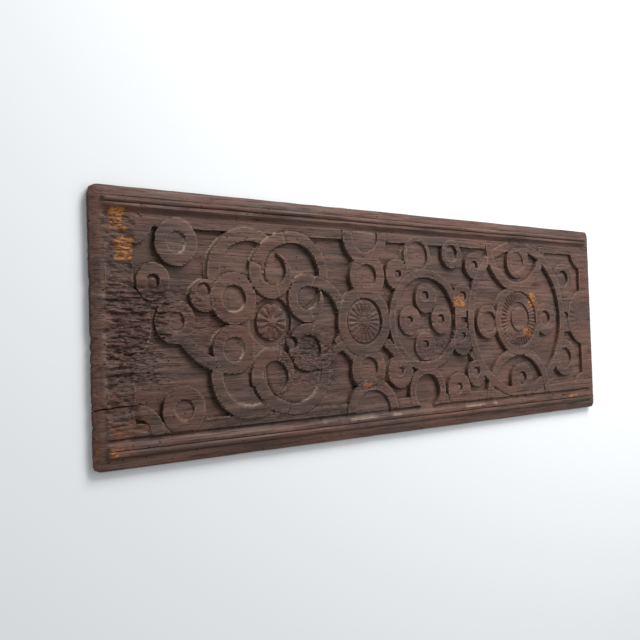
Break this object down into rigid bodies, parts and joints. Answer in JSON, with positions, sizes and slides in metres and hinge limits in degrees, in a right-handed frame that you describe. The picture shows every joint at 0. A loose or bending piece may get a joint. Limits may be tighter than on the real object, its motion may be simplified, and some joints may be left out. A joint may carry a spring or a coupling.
{
  "type": "carved oak panel",
  "caption": "Long oak board carved in low relief with strapwork scrolls, rings and fluted rosettes, between run mouldings along its long edges, old and wormed at one end.",
  "frame": {"origin": "centre of the flat back, on the plane that the panel lies on", "axes": "+X along the length, from the wormed end to the sound end; +Y across the board towards its top edge; +Z out of the carved face"},
  "size_m": [0.9, 0.3, 0.0135],
  "materials": {
    "oak": "old dark oak, worn wax over a brown patina"
  },
  "bodies": {
    "root": {"carved_panel": "oak"}
  },
  "joints": []
}
